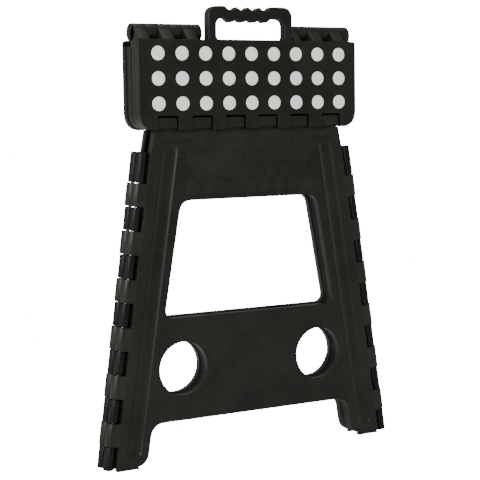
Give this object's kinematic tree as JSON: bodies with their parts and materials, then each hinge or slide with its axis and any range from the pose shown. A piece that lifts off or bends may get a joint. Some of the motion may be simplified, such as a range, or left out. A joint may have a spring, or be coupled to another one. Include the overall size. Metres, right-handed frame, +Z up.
{
  "type": "step stool",
  "caption": "Folding plastic step stool, folded flat, with a carry handle, dotted grip treads and leg panels hinged on steel pins.",
  "frame": {"origin": "on the floor under the middle of the folded stool, at the underside of the foot pads", "axes": "+Z up, +X to the right along the hinge lines, -Y the front, the face with the handle"},
  "size_m": [0.3874, 0.044, 0.5215],
  "materials": {
    "stool_plastic": "satin black polypropylene",
    "grip_dots": "soft off-white rubber",
    "foot_rubber": "matt black rubber",
    "pin_steel": "drawn steel wire"
  },
  "bodies": {
    "front_leg": {"front_leg": "stool_plastic", "front_left_corner_pin": "pin_steel", "front_right_corner_pin": "pin_steel", "front_leg_pin": "pin_steel", "front_left_foot_pad": "foot_rubber", "front_right_foot_pad": "foot_rubber"},
    "left_side_front": {"left_side_front_half": "stool_plastic", "left_fold_upper_pin": "pin_steel", "left_fold_lower_pin": "pin_steel"},
    "left_side_rear": {"left_side_rear_half": "stool_plastic"},
    "rear_leg": {"rear_leg": "stool_plastic", "rear_left_corner_pin": "pin_steel", "rear_right_corner_pin": "pin_steel", "rear_leg_pin": "pin_steel", "rear_left_foot_pad": "foot_rubber", "rear_right_foot_pad": "foot_rubber"},
    "front_tread": {"front_tread": "stool_plastic", "centre_left_pin": "pin_steel", "centre_right_pin": "pin_steel", "front_grip_top": "grip_dots", "front_grip_middle": "grip_dots", "front_grip_bottom": "grip_dots"},
    "rear_tread": {"rear_tread": "stool_plastic", "rear_grip_top_left": "grip_dots", "rear_grip_top_right": "grip_dots", "rear_grip_middle": "grip_dots", "rear_grip_bottom": "grip_dots"},
    "right_side_front": {"right_side_front_half": "stool_plastic"},
    "right_side_rear": {"right_side_rear_half": "stool_plastic", "right_fold_upper_pin": "pin_steel", "right_fold_lower_pin": "pin_steel"}
  },
  "joints": [
    {"name": "stool_fold", "type": "hinge", "parent": "front_leg", "child": "left_side_front", "pos_m": [-0.1361, -0.008, 0.3575], "axis": [0.1427, 0, 0.9898], "range_deg": [0, 90.92]},
    {"name": "left_fold_line", "type": "hinge", "parent": "left_side_front", "child": "left_side_rear", "pos_m": [-0.03242, 0, 0.3575], "axis": [0.0327, 0, 0.9995], "range_deg": [-180.01, 0]},
    {"name": "left_rear_corner", "type": "hinge", "parent": "left_side_rear", "child": "rear_leg", "pos_m": [-0.1361, 0.008, 0.3575], "axis": [0.1427, 0, 0.9898], "range_deg": [0, 90.93]},
    {"name": "front_tread_hinge", "type": "hinge", "parent": "front_leg", "child": "front_tread", "pos_m": [0, -0.009, 0.39], "axis": [1, 0, 0], "range_deg": [-83.61, 0]},
    {"name": "rear_tread_hinge", "type": "hinge", "parent": "rear_leg", "child": "rear_tread", "pos_m": [0, 0.009, 0.39], "axis": [1, 0, 0], "range_deg": [0, 83.61]},
    {"name": "right_front_corner", "type": "hinge", "parent": "front_leg", "child": "right_side_front", "pos_m": [0.1361, -0.008, 0.3575], "axis": [-0.1427, 0, 0.9898], "range_deg": [-90.93, 0]},
    {"name": "right_rear_corner", "type": "hinge", "parent": "rear_leg", "child": "right_side_rear", "pos_m": [0.1361, 0.008, 0.3575], "axis": [-0.1427, 0, 0.9898], "range_deg": [0, 90.93]}
  ],
  "couplings": [
    {"joint": "left_fold_line", "follows": "stool_fold", "ratio": -1.9798},
    {"joint": "left_rear_corner", "follows": "stool_fold", "ratio": 1},
    {"joint": "front_tread_hinge", "follows": "stool_fold", "ratio": -0.91952},
    {"joint": "rear_tread_hinge", "follows": "stool_fold", "ratio": 0.91952},
    {"joint": "right_front_corner", "follows": "stool_fold", "ratio": -1},
    {"joint": "right_rear_corner", "follows": "stool_fold", "ratio": 1}
  ]
}
